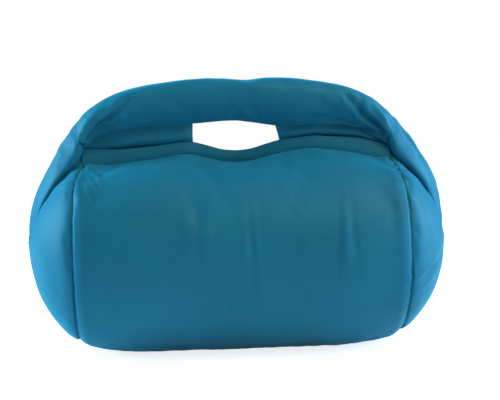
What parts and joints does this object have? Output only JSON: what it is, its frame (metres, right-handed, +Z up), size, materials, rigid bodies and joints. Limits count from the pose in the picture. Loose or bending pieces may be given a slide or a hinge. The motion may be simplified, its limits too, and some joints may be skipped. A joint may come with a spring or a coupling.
{
  "type": "bolster pillow with carry handle",
  "caption": "Bead-filled roll in a zipped stretch cover, with puffed ends and a padded carry handle on a sewn web with a hand hole.",
  "frame": {"origin": "middle of the flat that the roll rests on", "axes": "+X along the roll to the right end, +Y to the back with the zip, +Z up through the handle"},
  "size_m": [0.4498, 0.2123, 0.289],
  "materials": {
    "cover_fabric": "smooth knitted stretch microfibre with a satin sheen, teal",
    "lining": "plain white knit and wadding",
    "bead_fill": "loose white polystyrene microbeads",
    "zip_tape": "woven herringbone tape, teal",
    "zip_coil": "nylon coil, teal",
    "zip_metal": "nickel-plated"
  },
  "bodies": {
    "roll": {"front_panel": "cover_fabric", "back_panel": "cover_fabric", "end_panel_left": "cover_fabric", "end_panel_right": "cover_fabric", "end_lobe_left": "cover_fabric", "end_lobe_right": "cover_fabric", "inner_liner": "lining", "bead_fill": "bead_fill", "lobe_wadding_left": "lining", "lobe_wadding_right": "lining", "care_label": "lining", "zip_tape_upper": "zip_tape", "zip_tape_lower": "zip_tape", "zip_coil_upper": "zip_coil", "zip_coil_lower": "zip_coil", "zip_stop_closed_end": "zip_metal", "zip_stop_open_end": "zip_metal"},
    "handle": {"handle_sleeve": "cover_fabric", "handle_core": "lining", "web_front_left": "cover_fabric", "web_front_right": "cover_fabric", "web_back_left": "cover_fabric", "web_back_right": "cover_fabric", "hem_band_front": "cover_fabric", "hem_band_back": "cover_fabric"},
    "slider": {"zip_slider": "zip_metal"},
    "pull": {"zip_pull": "zip_metal"}
  },
  "joints": [
    {"name": "handle_fold", "type": "hinge", "parent": "roll", "child": "handle", "pos_m": [0, 0, 0.206], "axis": [1, 0, 0], "range_deg": [-45, 45], "stiffness_Nm_per_rad": 0.3},
    {"name": "zip_slide", "type": "slide", "parent": "roll", "child": "slider", "axis": [1, 0, 0], "range_m": [-0.248, 0]},
    {"name": "zip_pull_swing", "type": "hinge", "parent": "slider", "child": "pull", "pos_m": [0.124, 0.10529, 0.12871], "axis": [0, 0.2588, -0.9659], "range_deg": [0, 175]}
  ]
}
